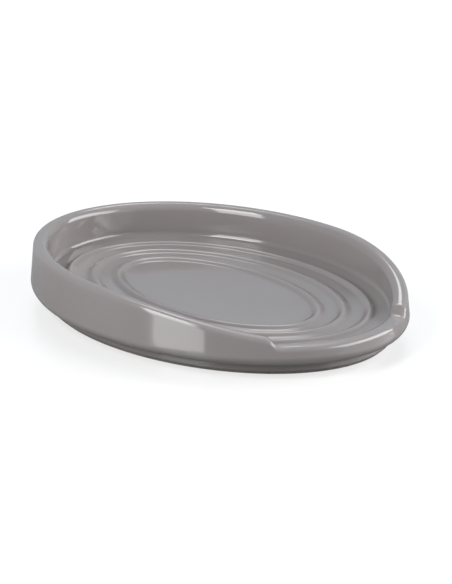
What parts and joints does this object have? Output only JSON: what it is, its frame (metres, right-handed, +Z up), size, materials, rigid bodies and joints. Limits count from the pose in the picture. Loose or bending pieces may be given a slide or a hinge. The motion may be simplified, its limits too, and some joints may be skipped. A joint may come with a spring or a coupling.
{
  "type": "spoon rest",
  "caption": "Oval glazed stoneware spoon rest with a raised rim that sweeps down to a low lip for the handle, and concentric ridges round a flat floor.",
  "frame": {"origin": "centre of the oval on the table, at the bottom of the foot ring", "axes": "+X along the length towards the low lip for the handle, +Y across the width, +Z up"},
  "size_m": [0.152, 0.1112, 0.021],
  "materials": {
    "bare_clay": "unglazed fired stoneware, matte",
    "grey_glaze": "glossy warm grey glaze"
  },
  "bodies": {
    "root": {"stoneware_body": "bare_clay", "glaze_coat": "grey_glaze", "underside_glaze": "grey_glaze"}
  },
  "joints": []
}
